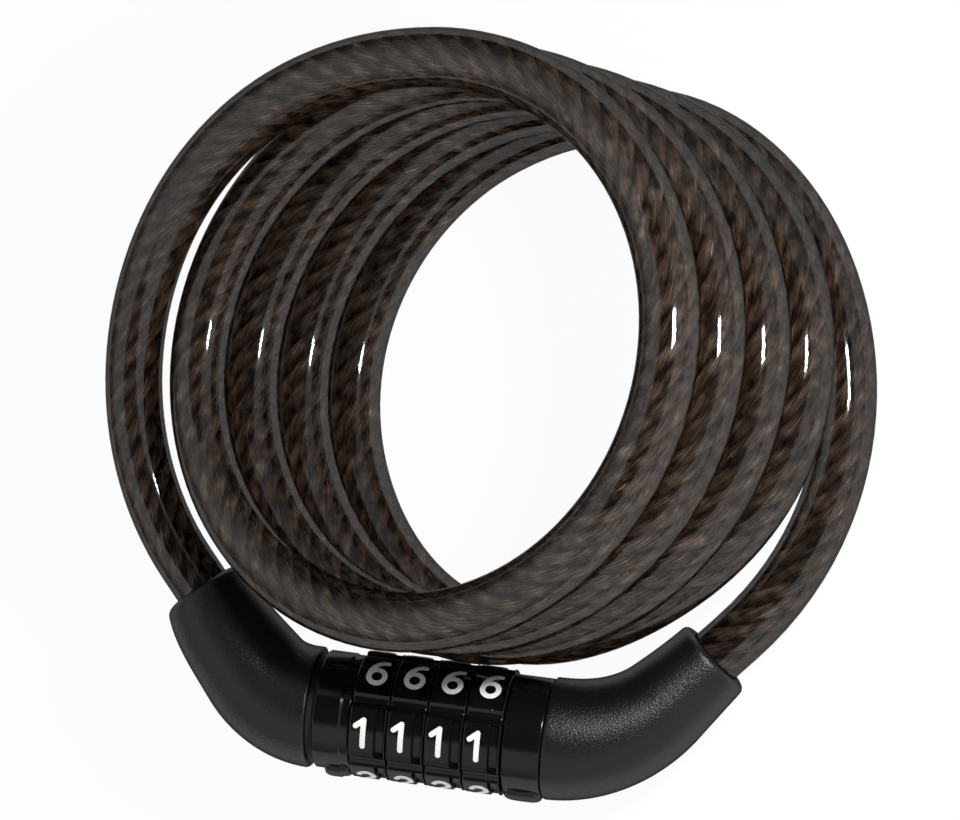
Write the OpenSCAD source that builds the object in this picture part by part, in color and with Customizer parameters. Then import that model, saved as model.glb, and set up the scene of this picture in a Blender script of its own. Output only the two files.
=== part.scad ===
// Cable lock: a coiled cable whose two ends meet in a four-wheel combination lock.
// Sizes are in millimetres. The lock's own axis is local X, and place_lock() leans it
// into the stance in which the whole lock lies on a flat surface at z = 0.

/* [Cable] */
// Outer diameter of the vinyl jacket
cable_d = 8; // [7:0.1:8]
// Wall of the jacket
jacket_wall = 0.88; // [0.7:0.01:1.2]
// Gap all round between the rope and the jacket's bore
rope_gap = 0.12; // [0.05:0.01:0.2]

/* [Coil] */
// Radius of the loops' centre line, half way down the coil
coil_r = 37.2; // [36.5:0.1:40]
// Change of the loops' radius for each turn
coil_shrink = 0.34; // [0:0.01:0.4]
// Share by which the loops are oval
coil_oval = 0.02; // [0:0.005:0.03]
// Direction of the oval's short side
coil_oval_dir = 53; // [0:1:90]
// How much lower the later loops hang at the dials' side
coil_sag = 1.3; // [0:0.1:1.3]
// How far the last loop is tucked in, right of the dials
coil_tuck = 1.2; // [0:0.1:1.3]
// Drop from one loop to the next
coil_pitch = 8.5; // [8.4:0.05:9]
// Sideways step from one loop to the next
coil_step = 3.75; // [3:0.05:5]
// Lean of the loops, right side up
coil_lean = 8.3; // [7:0.1:9]
// Centre of the coil, to the right of the dials
coil_x = 7.2; // [5:0.1:8]
// Centre of the coil, behind the dials
coil_y = 50.9; // [50:0.1:56]
// Height of the coil's middle
coil_z = 24; // [24:0.1:27]
// Stiffness of the cable's curve as it leaves the left housing
left_lead = 32; // [28:1:36]
// Stiffness of the same curve where it joins the loops
left_join = 43; // [38:1:46]
// Stiffness of the curve where the last loop ends
right_join = 48; // [44:1:50]
// Stiffness of the cable's curve as it enters the right housing
right_lead = 44; // [42:1:50]

/* [Stance] */
// Slope of the lock's axis, left end up
lock_tilt = 13; // [8:0.5:16]
// Height of the dials' centre
lock_h = 13.6; // [13.6:0.1:17]
// Roll of the housings' bends about the lock's axis
bend_roll = 3; // [0:0.5:10]

/* [Housings] */
// Diameter where a housing meets the dial body
housing_d = 17; // [16.4:0.1:18]
// Height of the housings' rims above the cable
rim_h = 1.9; // [1.8:0.1:3]
// Angle through which each housing bends
bend_angle = 48.5; // [40:0.5:52]
// Bend radius of the left housing
left_bend_r = 12; // [11.5:0.1:16]
// Straight length of the left housing
left_straight = 14; // [12:0.1:16]
// Bend radius of the right housing
right_bend_r = 19.9; // [17:0.1:22]
// Straight length of the right housing
right_straight = 9.8; // [9.8:0.1:14]
// Rounding of the housings' rims at the cable
rim_round = 0.9; // [0.3:0.1:1.2]
// How much fuller the left housing is along the outside of its bend
left_fullness = 0.6; // [0:0.05:0.9]
// How much fuller the right housing is along the outside of its bend
right_fullness = 0.15; // [0:0.05:0.9]

/* [Dials] */
// Number of wheels
wheel_count = 4; // [3:1:5]
// Places on each wheel
place_count = 6; // [5:1:8]
// Outer diameter of a wheel
wheel_d = 17.6; // [17:0.1:18.4]
// Distance from wheel to wheel
wheel_pitch = 5.3; // [5:0.05:6]
// Visible gap between two wheels
wheel_gap = 0.15; // [0.1:0.01:0.3]
// Width of each wheel's plain number pad
pad_w = 3.65; // [3:0.05:4]
// Depth of the finger recess beside each pad
recess_depth = 0.7; // [0.3:0.05:0.9]
// Angle that each number pad spans
pad_angle = 46; // [38:1:48]
// Depth of the grooves between the pads
groove_depth = 0.55; // [0.3:0.05:0.7]
// Direction of the row of ones, from the lock's top towards the front
row_angle = 16.5; // [0:0.5:30]

/* [End rings] */
// Diameter of the two end rings
ring_d = 16.4; // [16:0.1:17]
// Width of the left end ring
left_ring_w = 5.2; // [5:0.05:7]
// Width of the right end ring
right_ring_w = 5.4; // [5:0.05:7]
// Height of the code marks above the end rings
mark_h = 1; // [0.4:0.1:1.2]
// Angle that each code mark spans
mark_angle = 40; // [20:1:50]
// Length of the left code mark
left_mark_l = 3; // [2:0.1:5]

/* [Lock works] */
// Diameter of the locking bolt
bolt_d = 6.3; // [6.2:0.05:6.4]
// Wall of the core tube that the bolt slides in
core_wall = 1; // [0.9:0.05:1.2]
// Length of the bolt past the last wheel
bolt_tip = 0.9; // [0.4:0.1:1.4]
// Width of the bolt's fins
fin_w = 2; // [1.5:0.1:2]
// Thickness of the bolt's fins
fin_t = 1.5; // [1:0.1:1.6]
// Height of the fins above the core tube
fin_h = 0.85; // [0.6:0.05:1]
// Wall of the gate rings outside the fins' groove
gate_wall = 0.85; // [0.6:0.05:1]
// Width of the gates that let the fins through
gate_w = 2.5; // [2.3:0.1:2.8]
// Thickness of the spacer washers
spacer_t = 0.4; // [0.3:0.05:0.5]
// Wire of the eject spring
spring_wire = 0.5; // [0.4:0.05:0.6]
// Gap between the eject spring and the bore
spring_gap = 0.5; // [0.3:0.05:0.8]
// Turns of the eject spring
spring_turns = 6; // [4:1:7]

/* [Anchors] */
// Diameter of the anchors' bends
anchor_d = 9.2; // [9:0.1:9.4]
// Wall of the right anchor round the core tube
socket_wall = 0.6; // [0.5:0.05:0.8]
// Depth of the sockets for the bolt and the core tube
socket_depth = 8; // [7.5:0.1:8.2]
// Depth to which the jacket goes into a housing
jacket_in = 4; // [3:0.1:5]
// Length of the ferrules
ferrule_l = 5.8; // [4:0.1:6]
// Wall of the ferrules
ferrule_wall = 0.55; // [0.4:0.05:0.6]
// Diameter of the cross pins
pin_d = 1.8; // [1.4:0.1:2]

/* [Clearances] */
// Radial clearance of a running fit
run_fit = 0.05; // [0.02:0.01:0.08]
// Gap between fixed pieces
fixed_gap = 0.1; // [0.05:0.01:0.15]
// Width of the seam between the left housing and the dial body
seam_gap = 1; // [0.4:0.05:1.2]
// Depth to which the seal lies below the left housing's surface
seal_depth = 1; // [0.6:0.1:1.4]
// Wall of the seal in that seam
seal_wall = 1.65; // [1.2:0.05:1.8]

/* [Hidden] */

cut = 0.02;                 // how far a cutter runs past the face it opens
edge = 0.25;                // small bevel on turned edges
stack = wheel_count * wheel_pitch;
stack_l = -stack / 2;       // left end of the wheels
stack_r = stack / 2;        // right end of the wheels
left_ring_l = stack_l - fixed_gap - left_ring_w;
right_ring_r = stack_r + fixed_gap + right_ring_w;
left_seam = -left_ring_l + seam_gap;
right_seam = right_ring_r + fixed_gap;
core_bore = bolt_d + 2 * fixed_gap;
core_r = core_bore / 2 + core_wall;
core_mouth = left_ring_l + cut;
core_in = 6.6;              // how far the core tube goes into the right anchor
core_end = right_seam + core_in;
lip_w = 1.5;                // left bearing lip of a gate ring
lip_back = 0.8;             // right bearing lip of a gate ring
gate_l = wheel_pitch - spacer_t - 2 * run_fit;
fin_r = core_r + fin_h;      // distance of the fins' tips from the axis
fin_room = 0.25;
gate_clear_r = fin_r + fin_room;
gate_r = gate_clear_r + gate_wall;
washer_r = gate_r - fixed_gap;
wave_t = 0.5;
clip_t = 0.8;               // retaining ring
clip_groove = 0.35;
clip_room = 1.6;
key_w = 1.2;                // key between a gate ring and its wheel
key_h = 0.5;
pin_gap = 0.03;
socket_d = 2 * (core_r + run_fit + socket_wall);
housing_end_d = cable_d + 2 * rim_h;
pin_short = 0.4;            // how much shorter a cross pin is than its socket's width
pin_len = socket_d - pin_short;
click_w = 1.5;
click_t = 0.25;
click_floor = core_r - 0.5;
click_top = core_r - 0.05;
mark_dir = row_angle + 360 / place_count;
plug_l = 4.2;               // length of the plug that the spring pushes against
spring_seat = core_end - plug_l;
spring_r = core_bore / 2 - spring_gap - spring_wire / 2;
bolt_reach = stack_r + bolt_tip;
rope_d = cable_d - 2 * (jacket_wall + rope_gap);

// ---------- small helpers ----------

module along_x(from, to, r, sides = 64) {
    translate([from, 0, 0]) rotate([0, 90, 0]) cylinder(r = r, h = to - from, $fn = sides);
}

module ring_x(from, to, outer, inner) {
    difference() {
        along_x(from, to, outer);
        along_x(from - 1, to + 1, inner);
    }
}

// a ring about X with bevelled rims
module turned_ring(from, to, outer, inner, bevel = edge) {
    rotate([0, 90, 0]) rotate_extrude($fn = 96)
        polygon([[inner, from], [outer - bevel, from], [outer, from + bevel],
                 [outer, to - bevel], [outer - bevel, to], [inner, to]]);
}

// a slot towards the lock's underside, for the fins
module fin_way(from, to, width, reach) {
    translate([from, -width / 2, -reach]) cube([to - from, width, reach]);
}

// lays a piece made about local X into the lock's stance
module place_lock() {
    translate([0, 0, lock_h]) rotate([0, lock_tilt, 0]) children();
}

// canonical housing frame: the seam at the origin, bending from +X towards +Y
module place_left() {
    place_lock() mirror([1, 0, 0]) rotate([bend_roll, 0, 0])
        translate([left_seam, 0, 0]) children();
}

module place_right() {
    place_lock() rotate([bend_roll, 0, 0]) translate([right_seam, 0, 0]) children();
}

// the frame of a housing's straight end: X along the cable, outwards
module at_end(bend_r) {
    translate([bend_r * sin(bend_angle), bend_r * (1 - cos(bend_angle)), 0])
        rotate([0, 0, bend_angle]) children();
}

// ---------- swept tubes ----------

function unit(v) = v / norm(v);

function tangent(path, i) = let (n = len(path) - 1)
    unit(path[min(i + 1, n)] - path[max(i - 1, 0)]);

// one ring of points around path[i], with flats above and below
function hoop(path, i, r, sides) =
    let (t = tangent(path, i), s = unit(cross(t, [0, 0, 1])), u = cross(s, t))
    [for (k = [0 : sides - 1]) path[i] + r * (cos(360 * k / sides) * s + sin(360 * k / sides) * u)];

function hoops(path, r, sides) = [for (i = [0 : len(path) - 1]) each hoop(path, i, r, sides)];

// triangles between neighbouring rings, starting at point number from
function skin(count, sides, from, inside = false) =
    [for (i = [0 : count - 2], k = [0 : sides - 1])
        let (a = from + i * sides + k, b = from + i * sides + (k + 1) % sides, c = a + sides, d = b + sides)
        each inside ? [[a, c, b], [b, c, d]] : [[a, b, c], [b, d, c]]];

// flat end between the outer ring and the bore's ring
function rim(outer, inner, sides, last) =
    [for (k = [0 : sides - 1])
        let (a = outer + k, b = outer + (k + 1) % sides, c = inner + k, d = inner + (k + 1) % sides)
        each last ? [[a, b, c], [b, d, c]] : [[a, c, b], [b, c, d]]];

// both flat ends of a solid rod of rings
function caps(count, sides) = let (m = (count - 1) * sides)
    [for (k = [1 : sides - 2]) each [[0, k + 1, k], [m, m + k, m + k + 1]]];

module swept_rod(path, r, sides) {
    n = len(path);
    polyhedron(
        points = hoops(path, r, sides),
        faces = concat(skin(n, sides, 0), caps(n, sides)));
}

module swept_tube(path, r, bore, sides) {
    n = len(path);
    m = n * sides;
    polyhedron(
        points = concat(hoops(path, r, sides), hoops(path, bore, sides)),
        faces = concat(skin(n, sides, 0), skin(n, sides, m, true),
            rim(0, m, sides, false), rim(m - sides, 2 * m - sides, sides, true)));
}

// ---------- the cable's route ----------

loop_rings = 24;            // rings in one loop
tube_sides = 6;
first_angle = 90;           // where the loops begin, after the left lead
last_angle = 1500;          // where they end, before the right lead
mid_turn = 2.3;             // the turn that lies at the coil's middle height
sag_dir = 285;              // where the later loops hang lower
tuck_dir = 236;             // where the last loop is tucked in
lead_steps = 10;
end_steps = 12;
straight_out = cable_d - jacket_in;   // straight stretch outside each housing
// a six-sided tube with the same area as a round one
corner = sqrt(2 * PI / (3 * sqrt(3)));
rope_bore = rope_d / 2 * corner + run_fit;
ferrule_r = rope_bore + ferrule_wall;

// 0 before one value and 1 after the other, with a smooth change between them
function between(from, to, v) = ease(min(max((v - from) / (to - from), 0), 1));

// a rounded lobe, 1 at the middle and 0 beyond a quarter turn
function lobe(a) = pow(max(cos(a), 0), 6);

function loop_point(a) =
    let (n = a / 360 - mid_turn,
         r = (coil_r - coil_shrink * n) * (1 - coil_oval * cos(2 * (a - coil_oval_dir)))
             + coil_sag * between(480, 960, a) * lobe(a - sag_dir)
             - coil_tuck * between(1080, 1260, a) * lobe(a - tuck_dir),
         x = -r * cos(a), y = r * sin(a))
    [coil_x + coil_step * n + x, coil_y + y, coil_z - coil_pitch * n + x * tan(coil_lean)];

function loop_dir(a) = unit(loop_point(a + 0.5) - loop_point(a - 0.5));

// curve from one point and direction to another, with a stiffness at each end
function lead(p, p_dir, p_pull, q, q_dir, q_pull, steps) =
    [for (i = [0 : steps]) let (t = i / steps, s = 1 - t)
        p * pow(s, 3) + 3 * (p + p_dir * p_pull) * t * s * s
        + 3 * (q - q_dir * q_pull) * t * t * s + q * pow(t, 3)];

function turn_lock(v) = [cos(lock_tilt) * v[0] + sin(lock_tilt) * v[2], v[1],
                         -sin(lock_tilt) * v[0] + cos(lock_tilt) * v[2]];

function end_dir(side) = turn_lock([side * cos(bend_angle), sin(bend_angle) * cos(bend_roll),
                                    sin(bend_angle) * sin(bend_roll)]);

function end_point(side, seam, bend_r, straight) =
    let (out = seam + bend_r * sin(bend_angle) + straight * cos(bend_angle),
         back = bend_r * (1 - cos(bend_angle)) + straight * sin(bend_angle))
    [0, 0, lock_h] + turn_lock([side * out, back * cos(bend_roll), back * sin(bend_roll)]);

left_dir = end_dir(-1);
right_dir = end_dir(1);
left_end = end_point(-1, left_seam, left_bend_r, left_straight);
right_end = end_point(1, right_seam, right_bend_r, right_straight);

function loops() = [for (a = [first_angle + 360 / loop_rings : 360 / loop_rings : last_angle - 1])
    loop_point(a)];

free_route = concat(
    lead(left_end + straight_out * left_dir, left_dir, left_lead,
        loop_point(first_angle), loop_dir(first_angle), left_join, lead_steps),
    loops(),
    lead(loop_point(last_angle), loop_dir(last_angle), right_join,
        right_end + straight_out * right_dir, -right_dir, right_lead, end_steps));

// the route with its two ends a given depth inside the housings
function route(left_in, right_in) = concat([left_end - left_in * left_dir],
    free_route, [right_end - right_in * right_dir]);

function route_length(path) = let (steps = [for (i = [1 : len(path) - 1]) norm(path[i] - path[i - 1])])
    steps * [for (s = steps) 1];

half_loop = loop_rings / 2;
tube_points = [for (i = [0 : len(free_route) - 1]) hoop(free_route, i, cable_d / 2 * corner, tube_sides)];

// least distance between points of the tube that lie more than half a loop apart
least_gap = min([for (i = [0 : len(tube_points) - 1]) for (j = [i + half_loop : 1 : len(tube_points) - 1])
    if (norm(free_route[i] - free_route[j]) < 2 * cable_d)
        for (p = tube_points[i]) for (q = tube_points[j]) norm(p - q)]);

union() {
    echo(cable_length = route_length(route(jacket_in, jacket_in)));
    echo(least_gap_between_loops = least_gap);
    echo(lowest_cable_point = min([for (h = tube_points) for (p = h) p[2]]));
    echo(left_end = left_end, right_end = right_end, axis = turn_lock([1, 0, 0]));
}

// ---------- cable ----------

module cable_jacket() {
    color([0.20, 0.17, 0.15])
        swept_tube(route(jacket_in, jacket_in), cable_d / 2 * corner,
            (rope_d / 2 + rope_gap) * corner, tube_sides);
}

module steel_rope() {
    rope_in = jacket_in + ferrule_l - fixed_gap;
    color([0.55, 0.54, 0.52])
        swept_rod(route(rope_in, rope_in), rope_d / 2 * corner, tube_sides);
}

// ---------- housings ----------

function ease(t) = t * t * (3 - 2 * t);

function housing_r(t) = (housing_d - (housing_d - housing_end_d) * ease(t)) / 2;

// centre and heading at a distance u from the seam
function bend_at(u, bend_r) =
    let (arc = bend_r * bend_angle * PI / 180, a = min(u, arc) / bend_r * 180 / PI, rest = max(u - arc, 0))
    [bend_r * sin(a) + rest * cos(a), bend_r * (1 - cos(a)) + rest * sin(a), a];

// how far a ring reaches past a plain taper on the outside of the bend, 1 at the fullest
function swell(t) = 256 / 27 * pow(t, 3) * (1 - t);

function housing_ring(u, r, bend_r, sides, full) = let (c = bend_at(u, bend_r))
    [for (k = [0 : sides - 1]) let (b = 360 * k / sides, out = full + (r + full) * cos(b))
        [c[0] + out * sin(c[2]), c[1] - out * cos(c[2]), (r + full) * sin(b)]];

// distances from the seam and radii of the outer surface, with both rims rounded
function housing_rows(length, steps) = let (s = 0.35, e = rim_round, c = 1 - cos(45))
    concat([[0, housing_r(0) - s], [s * c, housing_r(0) - s * c]],
        [for (i = [0 : steps]) let (u = s + (length - s - e) * i / steps) [u, housing_r(u / length)]],
        [[length - e * c, housing_r(1) - e * c], [length, housing_r(1) - e]]);

module housing_outside(bend_r, straight, fullness, sides = 32, steps = 12) {
    length = bend_r * bend_angle * PI / 180 + straight;
    rows = housing_rows(length, steps);
    n = len(rows);
    polyhedron(
        points = [for (w = rows)
            each housing_ring(w[0], w[1], bend_r, sides, fullness * swell(w[0] / length))],
        faces = concat(skin(n, sides, 0), caps(n, sides)));
}

// the anchor's body, or the room for it when room is more than 0
module anchor_body(bend_r, straight, room = 0) {
    along_x(room > 0 ? -1 : 0, socket_depth + 0.6 + room, socket_d / 2 + room);
    bend_solid(bend_r, anchor_d / 2 + room);
    at_end(bend_r) along_x(-0.5 - room, straight - jacket_in - fixed_gap + room, socket_d / 2 + room);
}

// part of a torus that starts along +X at the origin and bends towards +Y
module bend_solid(bend_r, r) {
    translate([0, bend_r, 0]) rotate([0, 0, -90])
        rotate_extrude(angle = bend_angle, $fn = 96) translate([bend_r, 0]) circle(r = r, $fn = 48);
}

module housing_shell(bend_r, straight, fullness) {
    difference() {
        housing_outside(bend_r, straight, fullness);
        anchor_body(bend_r, straight, fixed_gap);
        at_end(bend_r) along_x(-0.5, straight + 1, cable_d / 2 * corner + fixed_gap);
    }
}

module left_housing() {
    color([0.07, 0.07, 0.07]) place_left() housing_shell(left_bend_r, left_straight, left_fullness);
}

module right_housing() {
    color([0.07, 0.07, 0.07]) place_right() housing_shell(right_bend_r, right_straight, right_fullness);
}

// ---------- anchors, ferrules and their screws ----------

module anchor(bend_r, straight, bore) {
    difference() {
        anchor_body(bend_r, straight);
        along_x(-1, socket_depth, bore);
        at_end(bend_r) {
            along_x(straight - jacket_in - ferrule_l, straight, ferrule_r + run_fit);
            translate([straight - jacket_in - ferrule_l / 2, 0, 0])
                cylinder(r = pin_d / 2 + pin_gap, h = socket_d, $fn = 24);
        }
        translate([socket_depth / 2, 0, -socket_d])
            cylinder(r = pin_d / 2 + pin_gap, h = 2 * socket_d, $fn = 24);
    }
}

module left_anchor() {
    color([0.62, 0.62, 0.60]) place_left() anchor(left_bend_r, left_straight, bolt_d / 2 + run_fit);
}

module right_anchor() {
    color([0.62, 0.62, 0.60]) place_right() anchor(right_bend_r, right_straight, core_r + run_fit);
}

module ferrule(straight) {
    from = straight - jacket_in - ferrule_l;
    ring_x(from + cut, straight - jacket_in - fixed_gap, ferrule_r, rope_bore);
}

module left_ferrule() {
    color([0.75, 0.75, 0.76]) place_left() at_end(left_bend_r) ferrule(left_straight);
}

module right_ferrule() {
    color([0.75, 0.75, 0.76]) place_right() at_end(right_bend_r) ferrule(right_straight);
}

// a small screw that presses on the ferrule through the anchor's side
module clamp_screw(straight) {
    translate([straight - jacket_in - ferrule_l / 2, 0, ferrule_r + cut])
        cylinder(r = pin_d / 2, h = socket_d / 2 - ferrule_r - cut, $fn = 24);
}

module left_clamp_screw() {
    color([0.35, 0.35, 0.36]) place_left() at_end(left_bend_r) clamp_screw(left_straight);
}

module right_clamp_screw() {
    color([0.35, 0.35, 0.36]) place_right() at_end(right_bend_r) clamp_screw(right_straight);
}

module cross_pin() {
    translate([socket_depth / 2, 0, -pin_len / 2]) cylinder(r = pin_d / 2, h = pin_len, $fn = 24);
}

module bolt_pin() {
    color([0.75, 0.75, 0.76]) place_left() cross_pin();
}

module core_pin() {
    color([0.75, 0.75, 0.76]) place_right() cross_pin();
}

// ---------- bolt, core and springs ----------

// centre of a wheel, counted from the left
function wheel_x(i) = stack_l + (i - 0.5) * wheel_pitch;

// left face of a gate ring, and the place of the fin in its groove
function gate_from(i) = wheel_x(i) - gate_l / 2;
function fin_x(i) = gate_from(i) + (lip_w + gate_l - lip_back) / 2;

module locking_bolt() {
    tail = left_seam + socket_depth - 0.2;
    color([0.72, 0.72, 0.73]) place_lock() difference() {
        union() {
            rotate([0, 90, 0]) rotate_extrude($fn = 64)
                polygon([[0, -tail], [bolt_d / 2, -tail], [bolt_d / 2, bolt_reach - 1],
                         [bolt_d / 2 - 0.8, bolt_reach], [0, bolt_reach]]);
            for (i = [1 : wheel_count])
                translate([fin_x(i) - fin_t / 2, -fin_w / 2, -fin_r]) cube([fin_t, fin_w, fin_r]);
        }
        rotate([bend_roll, 0, 0]) translate([-left_seam - socket_depth / 2, 0, -bolt_d])
            cylinder(r = pin_d / 2 + pin_gap, h = 2 * bolt_d, $fn = 24);
    }
}

module core_tube() {
    color([0.66, 0.66, 0.67]) place_lock() difference() {
        along_x(core_mouth, core_end, core_r);
        along_x(core_mouth - 1, core_end + 1, core_bore / 2);
        fin_way(core_mouth - 1, fin_x(wheel_count) + fin_t, fin_w + 2 * fixed_gap, 2 * core_r);
        ring_x(left_ring_l + clip_room / 2 - clip_t / 2 - run_fit,
            left_ring_l + clip_room / 2 + clip_t / 2 + run_fit, core_r + 1, core_r - clip_groove);
        translate([stack_l + cut, -click_w / 2 - run_fit, click_floor])
            cube([stack - 2 * cut, click_w + 2 * run_fit, core_r]);
        rotate([bend_roll, 0, 0]) translate([right_seam + socket_depth / 2, 0, -2 * core_r])
            cylinder(r = pin_d / 2 + pin_gap, h = 4 * core_r, $fn = 24);
    }
}

module core_plug() {
    color([0.70, 0.70, 0.70]) place_lock() difference() {
        along_x(spring_seat + cut, core_end, core_bore / 2 - run_fit);
        rotate([bend_roll, 0, 0]) translate([right_seam + socket_depth / 2, 0, -2 * core_r])
            cylinder(r = pin_d / 2 + pin_gap, h = 4 * core_r, $fn = 24);
    }
}

module eject_spring() {
    from = bolt_reach + spring_wire / 2 + fixed_gap;
    to = spring_seat - spring_wire / 2;
    steps = spring_turns * 8;
    path = [for (i = [0 : steps]) let (a = 45 * i)
        [from + (to - from) * i / steps, spring_r * cos(a), spring_r * sin(a)]];
    color([0.70, 0.70, 0.72]) place_lock() spring_rod(path, spring_wire / 2);
}

// a wire wound about X: each ring of points stands square to the winding
module spring_rod(path, r) {
    n = len(path);
    sides = 6;
    polyhedron(
        points = [for (p = path) let (out = unit([0, p[1], p[2]]))
            each [for (k = [0 : sides - 1]) p + r * (cos(60 * k) * out + sin(60 * k) * [1, 0, 0])]],
        faces = concat(skin(n, sides, 0), caps(n, sides)));
}

module click_spring() {
    color([0.60, 0.60, 0.58]) place_lock() {
        translate([stack_l + 0.3, -click_w / 2, click_floor + cut])
            cube([stack - 0.6, click_w, click_t]);
        for (i = [1 : wheel_count])
            translate([gate_from(i) + lip_w / 2, click_w / 2, click_floor + click_t])
                rotate([90, 0, 0]) intersection() {
                    cylinder(r = 0.6, h = click_w, $fn = 32);
                    translate([-1, -cut, 0]) cube([2, click_top - click_floor - click_t, click_w]);
                }
    }
}

module spacer_washers() {
    color([0.75, 0.74, 0.70]) place_lock()
        for (i = [0 : wheel_count]) let (x = stack_l + i * wheel_pitch) difference() {
            along_x(x - spacer_t / 2, x + spacer_t / 2, washer_r);
            along_x(x - 1, x + 1, core_r + run_fit);
            fin_way(x - 1, x + 1, gate_w, gate_clear_r);
        }
}

module wave_washer() {
    from = stack_r + spacer_t / 2 + cut;
    color([0.70, 0.70, 0.70]) place_lock()
        ring_x(from, from + wave_t, washer_r, core_r + run_fit);
}

module retaining_ring() {
    x = left_ring_l + clip_room / 2;
    color([0.45, 0.45, 0.46]) place_lock() difference() {
        along_x(x - clip_t / 2, x + clip_t / 2, gate_clear_r + 0.3);
        along_x(x - 1, x + 1, core_r - clip_groove + run_fit);
        fin_way(x - 1, x + 1, 2 * fin_w, 4 * core_r);
    }
}

module seam_seal() {
    color([0.03, 0.03, 0.03]) place_lock()
        ring_x(-left_seam + cut, left_ring_l - 2 * run_fit, housing_d / 2 - seal_depth,
            housing_d / 2 - seal_depth - seal_wall);
}

// ---------- wheels and rings ----------

module gate_ring(i) {
    from = gate_from(i);
    to = from + gate_l;
    color([0.72, 0.66, 0.45]) place_lock() difference() {
        union() {
            along_x(from, to, gate_r);
            translate([from, 0, -key_w / 2]) cube([gate_l, gate_r + key_h, key_w]);
        }
        along_x(from - 1, to + 1, core_r + run_fit);
        along_x(from + lip_w, to - lip_back, gate_clear_r);
        fin_way(from - 1, to + 1, gate_w, gate_clear_r);
        for (k = [0 : place_count - 1]) rotate([360 * k / place_count, 0, 0])
            translate([0, 0, core_r + run_fit]) along_x(from - 1, from + lip_w + 0.3, 0.3, 16);
    }
}

module dial_wheel(i) {
    half = (wheel_pitch - wheel_gap) / 2;
    x = wheel_x(i);
    step = 360 / place_count;
    groove_r = 1.3;
    recess_w = 2 * half - pad_w - 0.3;
    color([0.05, 0.05, 0.05]) place_lock() difference() {
        turned_ring(x - half, x + half, wheel_d / 2, gate_r + run_fit);
        translate([x - half - 1, 0, -key_w / 2 - run_fit])
            cube([2 * half + 2, gate_r + key_h + run_fit, key_w + 2 * run_fit]);
        for (k = [0 : place_count - 1]) rotate([row_angle + step * (k + 0.5), 0, 0])
            translate([0, 0, wheel_d / 2 + groove_r - groove_depth])
                along_x(x - half - 1, x + half + 1, groove_r, 32);
        for (k = [0 : place_count - 1]) rotate([row_angle + step * k, 0, 0])
            finger_recess(x - half + pad_w, recess_w);
    }
}

// a pocket in the wheel's surface, centred on the top
module finger_recess(from, width) {
    translate([from, 0, 0]) rotate([-pad_angle / 2, 0, 0]) rotate([0, 90, 0]) rotate([0, 0, 180])
        rotate_extrude(angle = pad_angle, $fn = 96)
            translate([wheel_d / 2 - recess_depth, 0]) square([2, width]);
}

module dial_wheel_1() { dial_wheel(1); }
module dial_wheel_2() { dial_wheel(2); }
module dial_wheel_3() { dial_wheel(3); }
module dial_wheel_4() { dial_wheel(4); }
module gate_ring_1() { gate_ring(1); }
module gate_ring_2() { gate_ring(2); }
module gate_ring_3() { gate_ring(3); }
module gate_ring_4() { gate_ring(4); }

// raised mark that shows where the code is read
module code_mark(from, to) {
    rotate([mark_dir - mark_angle / 2, 0, 0]) translate([from, 0, 0])
        rotate([0, 90, 0]) rotate([0, 0, 180])
            rotate_extrude(angle = mark_angle, $fn = 96)
                translate([ring_d / 2 - 1, 0])
                    polygon([[0, 0], [0.9 + mark_h - edge, 0], [1 + mark_h, edge],
                             [1 + mark_h, to - from - 2 * edge], [1 + mark_h - edge, to - from], [0, to - from]]);
}

module left_end_ring() {
    to = stack_l - fixed_gap;
    color([0.05, 0.05, 0.05]) place_lock() difference() {
        union() {
            turned_ring(left_ring_l, to, ring_d / 2, core_r + run_fit);
            code_mark(to - left_mark_l, to);
        }
        along_x(to - spacer_t / 2 + fixed_gap - run_fit, to + 1, washer_r + run_fit);
        along_x(left_ring_l - 1, left_ring_l + clip_room, gate_clear_r + 0.4);
        fin_way(left_ring_l - 1, to + 1, gate_w, gate_clear_r);
    }
}

module right_end_ring() {
    from = stack_r + fixed_gap;
    color([0.05, 0.05, 0.05]) place_lock() difference() {
        union() {
            turned_ring(from, right_ring_r, ring_d / 2, core_r + run_fit);
            code_mark(from, right_ring_r);
        }
        along_x(from - 1, stack_r + spacer_t / 2 + wave_t + 2 * cut, washer_r + run_fit);
    }
}

// ---------- drawing ----------

left_housing();
right_housing();
left_end_ring();
right_end_ring();
dial_wheel_1();
dial_wheel_2();
dial_wheel_3();
dial_wheel_4();
gate_ring_1();
gate_ring_2();
gate_ring_3();
gate_ring_4();
core_tube();
core_plug();
core_pin();
locking_bolt();
bolt_pin();
eject_spring();
click_spring();
spacer_washers();
wave_washer();
retaining_ring();
seam_seal();
left_anchor();
right_anchor();
left_ferrule();
right_ferrule();
left_clamp_screw();
right_clamp_screw();
cable_jacket();
steel_rope();
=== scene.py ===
import math

import bpy
from mathutils import Matrix, Vector


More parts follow.
